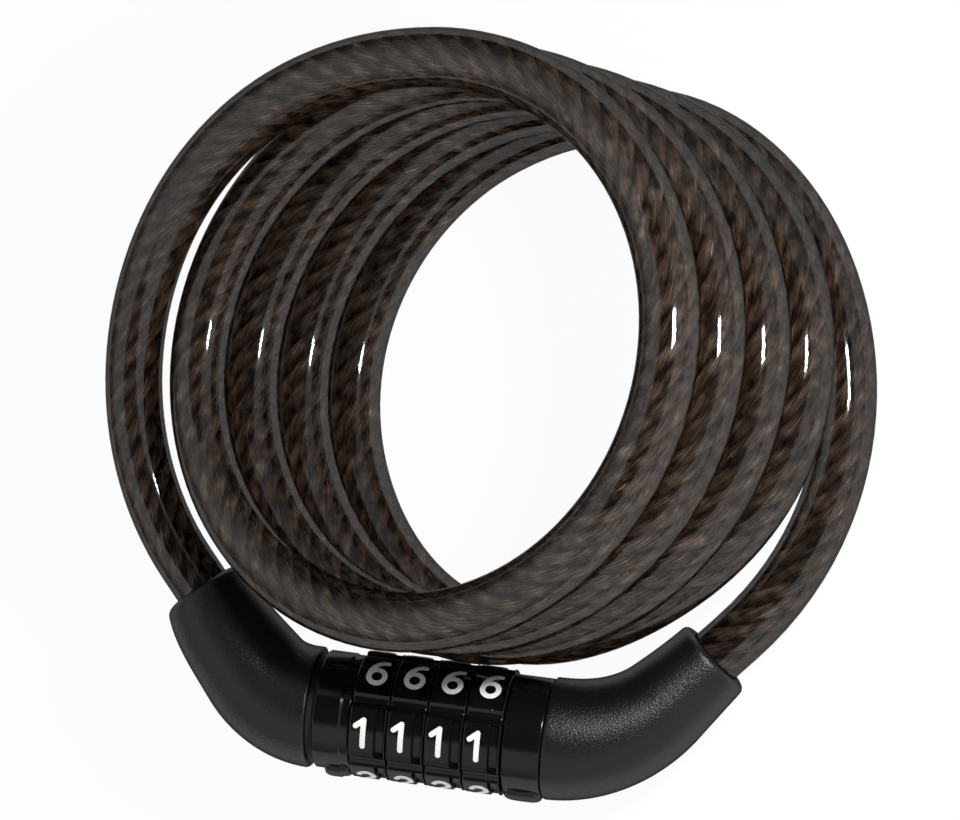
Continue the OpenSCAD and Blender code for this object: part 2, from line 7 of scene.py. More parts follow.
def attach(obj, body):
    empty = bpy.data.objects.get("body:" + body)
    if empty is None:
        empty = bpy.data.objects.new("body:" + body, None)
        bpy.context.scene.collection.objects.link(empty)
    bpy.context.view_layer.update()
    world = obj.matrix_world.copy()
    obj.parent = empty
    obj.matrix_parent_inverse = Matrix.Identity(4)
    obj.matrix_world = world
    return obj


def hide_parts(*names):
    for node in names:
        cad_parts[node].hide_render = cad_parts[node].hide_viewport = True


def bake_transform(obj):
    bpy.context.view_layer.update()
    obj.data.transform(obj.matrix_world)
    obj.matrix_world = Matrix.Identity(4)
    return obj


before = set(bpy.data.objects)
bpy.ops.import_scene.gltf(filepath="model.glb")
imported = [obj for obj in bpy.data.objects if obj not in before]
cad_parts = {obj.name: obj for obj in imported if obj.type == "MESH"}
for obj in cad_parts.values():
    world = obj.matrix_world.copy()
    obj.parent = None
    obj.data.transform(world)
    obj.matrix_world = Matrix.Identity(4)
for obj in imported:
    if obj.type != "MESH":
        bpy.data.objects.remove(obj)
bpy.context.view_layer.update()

mm = 0.001


# small helpers

# the linear colour that a shader takes, from an sRGB hex code
def linearColour(hexCode):
    channels = [int(hexCode[i:i + 2], 16) / 255 for i in (1, 3, 5)]
    linear = [c / 12.92 if c <= 0.04045 else ((c + 0.055) / 1.055) ** 2.4 for c in channels]
    return linear + [1.0]


# a node with its settings, by socket or by property name, and its incoming links
def addNode(tree, kind, settings=None, links=None):
    node = tree.nodes.new(kind)
    for key, value in (settings or {}).items():
        if isinstance(key, int) or key in node.inputs:
            node.inputs[key].default_value = value
        else:
            setattr(node, key, value)
    for key, source in (links or {}).items():
        tree.links.new(source, node.inputs[key])
    return node


def startMaterial(name):
    material = bpy.data.materials.new(name)
    material.use_nodes = True
    material.node_tree.nodes.clear()
    return material, material.node_tree


def finishMaterial(tree, surface, volume=None):
    output = addNode(tree, "ShaderNodeOutputMaterial", links={"Surface": surface})
    if volume:
        tree.links.new(volume, output.inputs["Volume"])


# how much of a surface turns away from the eye, from nothing to the most
def rimShare(tree, start, end, most):
    facing = addNode(tree, "ShaderNodeLayerWeight", {"Blend": 0.5})
    share = addNode(tree, "ShaderNodeMapRange",
                    {"From Min": start, "From Max": end, "To Max": most},
                    {"Value": facing.outputs["Facing"]})
    return share.outputs["Result"]


def meshPiece(name, points, faces, materials, faceMaterials=None, sharpAbove=35):
    mesh = bpy.data.meshes.new(name)
    mesh.from_pydata(points, [], faces)
    for material in materials:
        mesh.materials.append(material)
    if faceMaterials:
        mesh.polygons.foreach_set("material_index", faceMaterials)
    mesh.polygons.foreach_set("use_smooth", [True] * len(mesh.polygons))
    mesh.set_sharp_from_angle(angle=math.radians(sharpAbove))
    mesh.update()
    piece = bpy.data.objects.new(name, mesh)
    bpy.context.scene.collection.objects.link(piece)
    return piece


# quads between neighbouring rings of points; a shell closes on itself, a rod gets flat ends
def ringFaces(ringCount, sides, shell=False):
    faces = []
    for i in range(ringCount if shell else ringCount - 1):
        a, b = i * sides, (i + 1) % ringCount * sides
        faces += [(a + k, b + k, b + (k + 1) % sides, a + (k + 1) % sides) for k in range(sides)]
    if not shell:
        last = (ringCount - 1) * sides
        faces += [tuple(range(sides)), tuple(reversed(range(last, last + sides)))]
    return faces


# from 0 to 1 with a soft start and end
def smoothStep(low, high, value):
    t = min(max((value - low) / (high - low), 0), 1)
    return t * t * (3 - 2 * t)


# a rounded edge in steps, from its face to its side: how far in and how far down each step is
def quarterRound(radius, steps):
    turns = [math.pi / 2 * i / steps for i in range(steps + 1)]
    return [(radius * (1 - math.cos(turn)), radius * (1 - math.sin(turn))) for turn in turns]


# the cable's route, by the same formula as the solids

lock = {
    "tilt": 13,              # degrees, left end up
    "height": 13.6 * mm,     # middle of the dials above the table
    "bendRoll": 3,           # degrees, both bends about the dials' axis
    "bendAngle": 48.5,
    "leftSeam": 16.9 * mm,   # where a housing starts, from the middle of the dials
    "leftBend": 12 * mm,     # radius of its bend
    "leftStraight": 14 * mm,     # and its straight end
    "rightSeam": 16.2 * mm,
    "rightBend": 19.9 * mm,
    "rightStraight": 9.8 * mm,
}
cable = {
    "thickness": 8 * mm,
    "wall": 0.88 * mm,
    "jacketIn": 4 * mm,      # how far the jacket goes into a housing
    "ropeIn": 9.7 * mm,      # and the rope
    "leftLead": 32 * mm,     # how far each end of a lead keeps its heading
    "leftJoin": 43 * mm,
    "rightJoin": 48 * mm,
    "rightLead": 44 * mm,
    "leadSteps": 48,
    "bendFrom": (29 * mm, 0, 0),     # it bends between these two as the plug is drawn out
    "bendTo": (-28 * mm, 0, 0),
}
coil = {
    "radius": 37.2 * mm,
    "shrink": 0.34 * mm,     # of the radius, each turn
    "oval": 0.02,
    "ovalDirection": 53,
    "drop": 8.5 * mm,        # from turn to turn
    "step": 3.75 * mm,       # sideways, from turn to turn
    "lean": 8.3,
    "sag": 1.3 * mm,         # how much wider the later turns get at the dials' side
    "sagDirection": 285,
    "sagOver": (480, 960),   # degrees along the coil, from none to all of it
    "tuck": 1.2 * mm,        # how far the last turn is tucked in, right of the dials
    "tuckDirection": 236,
    "tuckOver": (1080, 1260),
    "lobePower": 6,          # how narrow both are
    "centre": Vector((7.2, 50.9, 24)) * mm,
    "middleTurn": 2.3,
    "firstAngle": 90,
    "lastAngle": 1500,
    "angleStep": 3,
}

lockPlace = (Matrix.Translation((0, 0, lock["height"]))
             @ Matrix.Rotation(math.radians(lock["tilt"]), 4, "Y"))
rollTurn = Matrix.Rotation(math.radians(lock["bendRoll"]), 4, "X")
leftPlace = (lockPlace @ Matrix.Scale(-1, 4, (1, 0, 0)) @ rollTurn
             @ Matrix.Translation((lock["leftSeam"], 0, 0)))
rightPlace = lockPlace @ rollTurn @ Matrix.Translation((lock["rightSeam"], 0, 0))


# a bulge of the coil: 1 in its own direction, fading to 0 at both sides
def lobe(angle):
    return max(math.cos(math.radians(angle)), 0) ** coil["lobePower"]


def loopPoint(angle):
    turn = angle / 360 - coil["middleTurn"]
    flat = 1 - coil["oval"] * math.cos(2 * math.radians(angle - coil["ovalDirection"]))
    radius = (coil["radius"] - coil["shrink"] * turn) * flat
    sag = smoothStep(*coil["sagOver"], angle) * lobe(angle - coil["sagDirection"])
    tuck = smoothStep(*coil["tuckOver"], angle) * lobe(angle - coil["tuckDirection"])
    radius += coil["sag"] * sag - coil["tuck"] * tuck
    x = -radius * math.cos(math.radians(angle))
    y = radius * math.sin(math.radians(angle))
    down = -coil["drop"] * turn + x * math.tan(math.radians(coil["lean"]))
    return coil["centre"] + Vector((coil["step"] * turn + x, y, down))


def loopHeading(angle):
    return (loopPoint(angle + 0.5) - loopPoint(angle - 0.5)).normalized()


# a curve between two points with a heading and a stiffness at each
def leadCurve(start, startHeading, startPull, stop, stopHeading, stopPull):
    points = []
    for i in range(cable["leadSteps"] + 1):
        t = i / cable["leadSteps"]
        s = 1 - t
        points.append(start * s ** 3 + 3 * (start + startHeading * startPull) * t * s * s
                      + 3 * (stop - stopHeading * stopPull) * t * t * s + stop * t ** 3)
    return points


# middle and heading of a housing at a distance from its seam
def housingAt(along, bend):
    arc = bend * math.radians(lock["bendAngle"])
    angle = min(along, arc) / bend
    rest = max(along - arc, 0)
    middle = Vector((bend * math.sin(angle) + rest * math.cos(angle),
                     bend * (1 - math.cos(angle)) + rest * math.sin(angle), 0))
    return middle, Vector((math.cos(angle), math.sin(angle), 0))


def housingLength(bend, straight):
    return bend * math.radians(lock["bendAngle"]) + straight


def housingMouth(place, bend, straight):
    middle, heading = housingAt(housingLength(bend, straight), bend)
    return place @ middle, (place.to_3x3() @ heading).normalized()


leftEnd, leftOut = housingMouth(leftPlace, lock["leftBend"], lock["leftStraight"])
rightEnd, rightOut = housingMouth(rightPlace, lock["rightBend"], lock["rightStraight"])
straightOut = cable["thickness"] - cable["jacketIn"]     # straight stretch outside a housing
loopAngles = range(coil["firstAngle"] + coil["angleStep"], coil["lastAngle"], coil["angleStep"])
freeRoute = (
    leadCurve(leftEnd + straightOut * leftOut, leftOut, cable["leftLead"],
              loopPoint(coil["firstAngle"]), loopHeading(coil["firstAngle"]), cable["leftJoin"])
    + [loopPoint(angle) for angle in loopAngles]
    + leadCurve(loopPoint(coil["lastAngle"]), loopHeading(coil["lastAngle"]), cable["rightJoin"],
                rightEnd + straightOut * rightOut, -rightOut, cable["rightLead"]))


# the route from a depth inside one housing to the same depth inside the other
def routeInto(depth):
    stretch = [0, 0.33, 0.67]
    before = [leftEnd + leftOut * (straightOut * s - depth * (1 - s)) for s in stretch]
    after = [rightEnd + rightOut * (straightOut * s - depth * (1 - s)) for s in reversed(stretch)]
    return before + freeRoute + after


# for each point of a route: the point, the length so far, and two directions square to the cable
def routeFrames(route):
    frames = []
    length = 0
    for i, point in enumerate(route):
        ahead = route[min(i + 1, len(route) - 1)]
        behind = route[max(i - 1, 0)]
        heading = (ahead - behind).normalized()
        side = heading.cross(Vector((0, 0, 1))).normalized()
        if i:
            length += (point - route[i - 1]).length
        frames.append((point, length, side, side.cross(heading)))
    return frames


# every point keeps where it would lie on the cable pulled straight, for the wires' lay
def keepStraightPlace(piece, places):
    layer = piece.data.attributes.new("straightPlace", "FLOAT_VECTOR", "POINT")
    layer.data.foreach_set("vector", [value for place in places for value in place])


print("route: %.1f mm in the open" % (1000 * routeFrames(freeRoute)[-1][1]))


# camera

camera = {
    "target": Vector((3.369, 43.559, 20)) * mm,
    "away": 500 * mm,
    "yaw": 22.47,            # degrees to the right of straight above
    "tip": 2.986,
    "roll": 7.174,
    "lens": 136.4,
    "sensor": 36,
    "farthest": 20,
}


def addCamera():
    yaw, tip, roll = (math.radians(camera[key]) for key in ("yaw", "tip", "roll"))
    look = Vector((-math.sin(yaw), math.sin(tip) * math.cos(yaw),
                   -math.cos(tip) * math.cos(yaw))).normalized()
    levelRight = look.cross(Vector((0, 1, 0))).normalized()
    levelUp = levelRight.cross(look)
    right = levelRight * math.cos(roll) + levelUp * math.sin(roll)
    up = levelUp * math.cos(roll) - levelRight * math.sin(roll)
    data = bpy.data.cameras.new("camera")
    data.lens = camera["lens"]
    data.sensor_width = camera["sensor"]
    data.sensor_fit = "HORIZONTAL"
    data.clip_end = camera["farthest"]
    eye = bpy.data.objects.new("camera", data)
    place = Matrix((right, up, -look)).transposed().to_4x4()
    place.translation = camera["target"] - look * camera["away"]
    eye.matrix_world = place
    bpy.context.scene.collection.objects.link(eye)
    bpy.context.scene.camera = eye


addCamera()
print("camera placed")


# cable

rope = {
    "radius": 3 * mm,
    "strands": 6,
    "layLength": 22 * mm,    # one turn of a strand round the rope
    "pointsPerStrand": 10,
    "ringStep": 1.3 * mm,
    "wireWidth": 0.42 * mm,
    "wireLay": 52 * mm,      # and of a wire as it shows on the outside
    "streakWidth": 0.45 * mm,
    "streakStretch": 0.1,    # a streak is ten times as long as it is wide
    "greasePatch": 2.2 * mm,
    "grease": "#42332a",
    "dullWire": "#95857a",
    "wire": "#c2b4a6",
    "paintedGlint": "#ffffff",
}
vinyl = {
    "sides": 28,
    "waves": 3 * mm,         # length of the faint waves that extrusion leaves
    "clear": "#eadacb",
    # darker tint for the rims, a painted shade that takes the place of their reflection
    "paintedRimShade": "#b5a594",
    "smoke": "#786858",
    "smokeDensity": 420.0,
}


# plasticised PVC, extruded over the rope: clear, smoky and glossy, with painted shade at its rims,
# where the reflection gives way to a darker, dull look
def smokyVinyl():
    material, tree = startMaterial("smokyVinyl")
    straight = addNode(tree, "ShaderNodeAttribute", {"attribute_name": "straightPlace"})
    stretched = addNode(tree, "ShaderNodeMapping", {"Scale": (0.25, 1, 1)},
                        {"Vector": straight.outputs["Vector"]})
    waves = addNode(tree, "ShaderNodeTexNoise",
                    {"Scale": 1 / vinyl["waves"], "Detail": 2.0, "Roughness": 0.4},
                    {"Vector": stretched.outputs["Vector"]})
    bump = addNode(tree, "ShaderNodeBump", {"Strength": 0.12, "Distance": 0.03 * mm},
                   {"Height": waves.outputs["Fac"]})
    skin = addNode(tree, "ShaderNodeBsdfPrincipled", {
        "Base Color": linearColour(vinyl["clear"]),
        "Roughness": 0.05,
        "IOR": 1.53,
        "Transmission Weight": 1.0,
    }, {"Normal": bump.outputs["Normal"]})
    dull = addNode(tree, "ShaderNodeBsdfRefraction", {
        "Color": linearColour(vinyl["paintedRimShade"]),
        "Roughness": 0.05,
        "IOR": 1.53,
    }, {"Normal": bump.outputs["Normal"]})
    # painted shade: towards the rims the glossy skin gives way to a darker refraction with no
    # reflection
    whole = addNode(tree, "ShaderNodeMixShader", None, {
        "Fac": rimShare(tree, 0.25, 0.7, 0.85), 1: skin.outputs["BSDF"], 2: dull.outputs["BSDF"]})
    smoke = addNode(tree, "ShaderNodeVolumeAbsorption", {
        "Color": linearColour(vinyl["smoke"]), "Density": vinyl["smokeDensity"]})
    finishMaterial(tree, whole.outputs["Shader"], smoke.outputs["Volume"])
    return material


# the bore's own face, where the vinyl lies tight on the wires and light goes straight through
def vinylBore():
    material, tree = startMaterial("vinylBore")
    clear = addNode(tree, "ShaderNodeBsdfTransparent", {"Color": (1, 1, 1, 1)})
    finishMaterial(tree, clear.outputs["BSDF"])
    return material


# drawn and stranded galvanised steel: fine bright wires, brown lay grease between them, and painted
# glints where the streaks peak
def strandedSteel():
    material, tree = startMaterial("strandedSteel")
    straight = addNode(tree, "ShaderNodeAttribute", {"attribute_name": "straightPlace"})
    parts = addNode(tree, "ShaderNodeSeparateXYZ", links={"Vector": straight.outputs["Vector"]})
    around = addNode(tree, "ShaderNodeMath", {"operation": "ARCTAN2"},
                     {0: parts.outputs["Z"], 1: parts.outputs["Y"]})
    twist = addNode(tree, "ShaderNodeMath",
                    {"operation": "MULTIPLY", 1: 2 * math.pi / rope["wireLay"]},
                    {0: parts.outputs["X"]})
    turned = addNode(tree, "ShaderNodeMath", {"operation": "ADD"},
                     {0: around.outputs["Value"], 1: twist.outputs["Value"]})
    # one round crest for each wire
    wireCount = round(2 * math.pi * rope["radius"] / rope["wireWidth"])
    wires = addNode(tree, "ShaderNodeMath", {"operation": "MULTIPLY", 1: wireCount / 2},
                    {0: turned.outputs["Value"]})
    ridge = addNode(tree, "ShaderNodeMath", {"operation": "SINE"}, {0: wires.outputs["Value"]})
    crest = addNode(tree, "ShaderNodeMath", {"operation": "ABSOLUTE"}, {0: ridge.outputs["Value"]})
    bump = addNode(tree, "ShaderNodeBump",
                   {"Strength": 0.9, "Distance": rope["wireWidth"] / 2.5},
                   {"Height": crest.outputs["Value"]})
    # streaks that run with the wires, on grease that lies in patches
    sine = addNode(tree, "ShaderNodeMath", {"operation": "SINE"}, {0: turned.outputs["Value"]})
    cosine = addNode(tree, "ShaderNodeMath", {"operation": "COSINE"}, {0: turned.outputs["Value"]})
    unwound = addNode(tree, "ShaderNodeCombineXYZ", None, {
        "X": parts.outputs["X"], "Y": sine.outputs["Value"], "Z": cosine.outputs["Value"]})
    long = addNode(tree, "ShaderNodeMapping",
                   {"Scale": (rope["streakStretch"], rope["radius"], rope["radius"])},
                   {"Vector": unwound.outputs["Vector"]})
    streaks = addNode(tree, "ShaderNodeTexNoise",
                      {"Scale": 1 / rope["streakWidth"], "Detail": 3.0, "Roughness": 0.65},
                      {"Vector": long.outputs["Vector"]})
    patches = addNode(tree, "ShaderNodeTexNoise",
                      {"Scale": 1 / rope["greasePatch"], "Detail": 2.0},
                      {"Vector": straight.outputs["Vector"]})
    both = addNode(tree, "ShaderNodeMath", {"operation": "ADD"},
                   {0: streaks.outputs["Fac"], 1: patches.outputs["Fac"]})
    half = addNode(tree, "ShaderNodeMath", {"operation": "MULTIPLY", 1: 0.5},
                   {0: both.outputs["Value"]})
    tint = addNode(tree, "ShaderNodeValToRGB", links={"Fac": half.outputs["Value"]})
    ramp = tint.color_ramp.elements
    # from brown grease through dull and bright wire to a painted glint, white where the streaks are
    # brightest
    ramp[0].position, ramp[0].color = 0.38, linearColour(rope["grease"])
    ramp[1].position, ramp[1].color = 0.70, linearColour(rope["paintedGlint"])
    ramp.new(0.5).color = linearColour(rope["dullWire"])
    ramp.new(0.6).color = linearColour(rope["wire"])
    wire = addNode(tree, "ShaderNodeBsdfPrincipled", {"Metallic": 0.6, "Roughness": 0.36},
                   {"Base Color": tint.outputs["Color"], "Normal": bump.outputs["Normal"]})
    finishMaterial(tree, wire.outputs["BSDF"])
    return material


# a tube: rings of its outside along the route, and rings of its bore on the way back
def addJacket():
    route = routeInto(cable["jacketIn"])
    frames = routeFrames(route)
    outer = cable["thickness"] / 2
    sides = vinyl["sides"]
    points, places = [], []
    for radius, order in ((outer, frames), (outer - cable["wall"], frames[::-1])):
        for point, along, side, up in order:
            for k in range(sides):
                angle = 2 * math.pi * k / sides
                y, z = radius * math.cos(angle), radius * math.sin(angle)
                points.append(point + side * y + up * z)
                places.append((along, y, z))
    faces = ringFaces(2 * len(frames), sides, shell=True)
    boreFrom = len(frames) * sides
    boreTo = boreFrom + (len(frames) - 1) * sides
    inBore = [1 if boreFrom <= i < boreTo else 0 for i in range(len(faces))]
    jacket = meshPiece("cableJacket", points, faces, [smokyVinyl(), vinylBore()], inBore, 60)
    keepStraightPlace(jacket, places)
    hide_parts("cable_jacket")
    return jacket, route, frames[-1][1]


# six strands wound round a core, as one lobed rod that turns as it goes
def addRope():
    frames = routeFrames(routeInto(cable["ropeIn"]))
    total = frames[-1][1]
    ringCount = int(total / rope["ringStep"]) + 1
    perStrand = rope["pointsPerStrand"]
    sides = rope["strands"] * perStrand
    strandRadius = rope["radius"] / 3
    points, places = [], []
    spot = 0
    for i in range(ringCount):
        along = total * i / (ringCount - 1)
        while spot < len(frames) - 2 and frames[spot + 1][1] < along:
            spot += 1
        here, there = frames[spot], frames[spot + 1]
        share = (along - here[1]) / (there[1] - here[1])
        middle = here[0].lerp(there[0], share)
        side = here[2].lerp(there[2], share).normalized()
        up = here[3].lerp(there[3], share).normalized()
        for k in range(sides):
            inStrand = (k % perStrand / perStrand - 0.5) * 2 * math.pi / rope["strands"]
            inside = max(strandRadius ** 2 - (2 * strandRadius * math.sin(inStrand)) ** 2, 0)
            radius = 2 * strandRadius * math.cos(inStrand) + math.sqrt(inside)
            angle = 2 * math.pi * (k / sides - along / rope["layLength"])
            y, z = radius * math.cos(angle), radius * math.sin(angle)
            points.append(middle + side * y + up * z)
            places.append((along, y, z))
    strands = meshPiece("steelRope", points, ringFaces(ringCount, sides), [strandedSteel()],
                        None, 80)
    keepStraightPlace(strands, places)
    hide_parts("steel_rope")
    return strands


def addCable():
    jacket, route, length = addJacket()
    strands = addRope()
    for piece in (jacket, strands):
        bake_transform(piece)
    print("cable: %.1f mm of jacket" % (1000 * length))


addCable()


# housings

housing = {
    "startWidth": 17 * mm,
    "mouthWidth": 11.8 * mm,
    "seamRound": 0.35 * mm,
    "seamSteps": 4,
    "mouthRound": 0.9 * mm,
    "mouthSteps": 6,
    "bore": 10 * mm,
    "boreRows": 16,
    "cableHole": 8.25 * mm,
    "holeSpare": 0.1 * mm,   # how much shorter the cable's hole is than the jacket in it
    "leftFullness": 0.6 * mm,    # how far the outside of the bend swells past a plain taper
    "rightFullness": 0.15 * mm,
    "sides": 80,
    "rows": 44,
    "grain": 0.25 * mm,      # drawn about twice as coarse as the real grain, so that it shows
    "patches": 6 * mm,
    "colour": "#0d0f0d",
}
# painted shade for the rims of the black plastics: a dark matt colour in place of their reflection
# at a shallow angle
paintedRimShade = "#141210"         # black plastic seen at a shallow angle


# moulded ABS from a spark-eroded tool: black, dull, with a fine even grain that glitters a little
def grainedAbs():
    material, tree = startMaterial("grainedAbs")
    where = addNode(tree, "ShaderNodeTexCoord")
    grain = addNode(tree, "ShaderNodeTexNoise",
                    {"Scale": 1 / housing["grain"], "Detail": 2.0, "Roughness": 0.6},
                    {"Vector": where.outputs["Object"]})
    patches = addNode(tree, "ShaderNodeTexNoise", {"Scale": 1 / housing["patches"], "Detail": 3.0},
                      {"Vector": where.outputs["Object"]})
    dullness = addNode(tree, "ShaderNodeMapRange", {"To Min": 0.28, "To Max": 0.34},
                       {"Value": patches.outputs["Fac"]})
    bump = addNode(tree, "ShaderNodeBump", {"Strength": 1.0, "Distance": 0.07 * mm},
                   {"Height": grain.outputs["Fac"]})
    plastic = addNode(tree, "ShaderNodeBsdfPrincipled", {
        "Base Color": linearColour(housing["colour"]),
        "IOR": 1.44,
    }, {"Roughness": dullness.outputs["Result"], "Normal": bump.outputs["Normal"]})
    # painted shade: towards the rims the plastic turns dark and matt instead of reflecting
    matt = addNode(tree, "ShaderNodeBsdfDiffuse", {"Color": linearColour(paintedRimShade)})
    whole = addNode(tree, "ShaderNodeMixShader", None, {
        "Fac": rimShare(tree, 0.35, 0.8, 0.9), 1: plastic.outputs["BSDF"], 2: matt.outputs["BSDF"]})
    finishMaterial(tree, whole.outputs["Shader"])
    return material


# distance from the seam, radius and extra fullness of each ring of the outside
def housingRows(length, fullness):
    first, last = housing["seamRound"], housing["mouthRound"]
    narrowing = housing["startWidth"] - housing["mouthWidth"]

    def radiusAt(share):
        return (housing["startWidth"] - narrowing * share * share * (3 - 2 * share)) / 2

    # nothing at both ends, and all of it three quarters of the way along
    def fullnessAt(share):
        return fullness * 256 / 27 * share ** 3 * (1 - share)

    rows = [(inward, radiusAt(0) - drop, 0)
            for inward, drop in quarterRound(first, housing["seamSteps"])]
    for i in range(1, housing["rows"]):
        along = first + (length - first - last) * i / housing["rows"]
        share = along / length
        rows.append((along, radiusAt(share), fullnessAt(share)))
    rows += [(length - inward, radiusAt(1) - drop, fullnessAt(1 - inward / length))
             for drop, inward in quarterRound(last, housing["mouthSteps"])]
    return rows


def addHousing(name, node, body, place, bend, straight, fullness, material):
    length = housingLength(bend, straight)
    hole = housing["cableHole"] / 2
    bore = housing["bore"] / 2
    boreEnd = length - cable["jacketIn"] + housing["holeSpare"]
    rows = housingRows(length, fullness)
    rows += [(length, hole, 0), (boreEnd, hole, 0), (boreEnd, bore, 0)]
    rows += [(boreEnd * (1 - i / housing["boreRows"]), bore, 0)
             for i in range(1, housing["boreRows"] + 1)]
    points = []
    for along, radius, extra in rows:
        middle, heading = housingAt(along, bend)
        outward = Vector((heading.y, -heading.x, 0))
        for k in range(housing["sides"]):
            angle = 2 * math.pi * k / housing["sides"]
            points.append(place @ (middle + outward * (extra + (radius + extra) * math.cos(angle))
                                   + Vector((0, 0, (radius + extra) * math.sin(angle)))))
    faces = ringFaces(len(rows), housing["sides"], shell=True)
    if place.determinant() < 0:
        faces = [face[::-1] for face in faces]
    piece = meshPiece(name, points, faces, [material])
    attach(piece, body)
    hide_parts(node)


housingPlastic = grainedAbs()
addHousing("leftHousing", "left_housing", "plug", leftPlace,
           lock["leftBend"], lock["leftStraight"], housing["leftFullness"], housingPlastic)
addHousing("rightHousing", "right_housing", "dial_body", rightPlace,
           lock["rightBend"], lock["rightStraight"], housing["rightFullness"], housingPlastic)
print("housings made")


# dials

dial = {
    "count": 4,
    "places": 6,
    "width": 17.6 * mm,
    "pitch": 5.3 * mm,
    "half": 2.575 * mm,
    "bore": 12.5 * mm,
    "padEnd": 1.075 * mm,    # right edge of the number pad, from the wheel's middle
    "recessEnd": 2.275 * mm,
    "recessDepth": 0.7 * mm,
    "recessSpan": 23,        # degrees either side of a pad's middle
    "recessSides": (0.8, 0.4),   # degrees that its end walls take, inside and outside the span
    "recessWall": 0.09 * mm,
    "groove": 1.3 * mm,      # radius of the scoop between two pads
    "grooveDepth": 0.55 * mm,
    "grooveLip": 0.1 * mm,
    "edge": 0.25 * mm,
    "edgeSteps": 4,
    "row": 16.5,             # degrees from the top towards the front, to the row of ones
    # where the mesh has its rings and rays, closer together at the walls of the recess
    "rings": (-2.0, -1.4, -0.8, -0.2, 0.4, 0.85, 0.98, 1.03, 1.07, 1.1, 1.13, 1.17, 1.22,
              1.4, 1.68, 1.95, 2.13, 2.18, 2.22, 2.25, 2.28),
    "rays": (0, 4, 8, 12, 16, 19, 21, 22, 22.6, 23, 23.4, 23.8, 24.6, 25.6, 26.8, 28.4),
    "rubs": 1.2 * mm,
    "colour": "#0b0b09",
}


# moulded and polished acetal: deep black with a clean, wet-looking shine
def polishedAcetal():
    material, tree = startMaterial("polishedAcetal")
    where = addNode(tree, "ShaderNodeTexCoord")
    rubs = addNode(tree, "ShaderNodeTexNoise",
                   {"Scale": 1 / dial["rubs"], "Detail": 4.0, "Roughness": 0.7},
                   {"Vector": where.outputs["Object"]})
    shine = addNode(tree, "ShaderNodeMapRange", {"To Min": 0.1, "To Max": 0.24},
                    {"Value": rubs.outputs["Fac"]})
    bump = addNode(tree, "ShaderNodeBump", {"Strength": 0.12, "Distance": 0.02 * mm},
                   {"Height": rubs.outputs["Fac"]})
    plastic = addNode(tree, "ShaderNodeBsdfPrincipled", {
        "Base Color": linearColour(dial["colour"]),
        "IOR": 1.38,
    }, {"Roughness": shine.outputs["Result"], "Normal": bump.outputs["Normal"]})
    # painted shade: towards the rims the acetal turns dark and matt instead of reflecting
    matt = addNode(tree, "ShaderNodeBsdfDiffuse", {"Color": linearColour(paintedRimShade)})
    whole = addNode(tree, "ShaderNodeMixShader", None, {
        "Fac": rimShare(tree, 0.35, 0.8, 0.9), 1: plastic.outputs["BSDF"], 2: matt.outputs["BSDF"]})
    finishMaterial(tree, whole.outputs["Shader"])
    return material


# a number pad with its recess, and a scooped groove between it and the next pad
def wheelRadius(x, angle):
    full = dial["width"] / 2
    step = 360 / dial["places"]
    fromPad = (angle - dial["row"] + step / 2) % step - step / 2
    fromGroove = math.radians(step / 2 - abs(fromPad))
    scoopMiddle = full + dial["groove"] - dial["grooveDepth"]
    scoop = full + dial["groove"]
    reach = dial["groove"] ** 2 - (scoopMiddle * math.sin(fromGroove)) ** 2
    if reach > 0:
        scoop = scoopMiddle * math.cos(fromGroove) - math.sqrt(reach)
    lip = dial["grooveLip"]
    share = min(max(0.5 + 0.5 * (scoop - full) / lip, 0), 1)
    radius = scoop * (1 - share) + full * share - lip * share * (1 - share)
    wall, (sideIn, sideOut) = dial["recessWall"], dial["recessSides"]
    across = smoothStep(dial["padEnd"] - wall, dial["padEnd"] + wall, x)
    across *= 1 - smoothStep(dial["recessEnd"] - wall, dial["recessEnd"] + wall, x)
    around = 1 - smoothStep(dial["recessSpan"] - sideIn, dial["recessSpan"] + sideOut, abs(fromPad))
    recessed = full - dial["recessDepth"]
    return min(radius, radius + (recessed - radius) * across * around)


# distance from the wheel's middle and drop of each ring, from left rim to right rim
def wheelStations():
    left = [(inward - dial["half"], drop)
            for inward, drop in quarterRound(dial["edge"], dial["edgeSteps"])]
    pad = [(x * mm, 0) for x in dial["rings"]]
    return left + pad + [(-x, drop) for x, drop in reversed(left)]


def wheelAngles():
    step = 360 / dial["places"]
    sector = [-a for a in reversed(dial["rays"][1:])] + list(dial["rays"]) + [step / 2]
    return [dial["row"] + step * n + a for n in range(dial["places"]) for a in sector]


# a point beside the dials' axis, at an angle from the top towards the front
def aroundAxis(x, radius, angle):
    turn = math.radians(angle)
    return lockPlace @ Vector((x, -radius * math.sin(turn), radius * math.cos(turn)))


def wheelMiddle(number):
    return (number - 0.5 - dial["count"] / 2) * dial["pitch"]


def addWheel(number, material):
    middle = wheelMiddle(number)
    angles = wheelAngles()
    half, bore = dial["half"], dial["bore"] / 2
    points = [aroundAxis(middle - half, bore, angle) for angle in angles]
    for x, drop in wheelStations():
        points += [aroundAxis(middle + x, wheelRadius(x, angle) - drop, angle) for angle in angles]
    points += [aroundAxis(middle + half, bore, angle) for angle in angles]
    faces = [face[::-1] for face in ringFaces(len(points) // len(angles), len(angles), shell=True)]
    piece = meshPiece("dialWheel%d" % number, points, faces, [material], None, 50)
    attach(piece, "wheel_%d" % number)
    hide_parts("dial_wheel_%d" % number)


blackAcetal = polishedAcetal()
for number in range(1, dial["count"] + 1):
    addWheel(number, blackAcetal)
print("wheels made")


# end rings

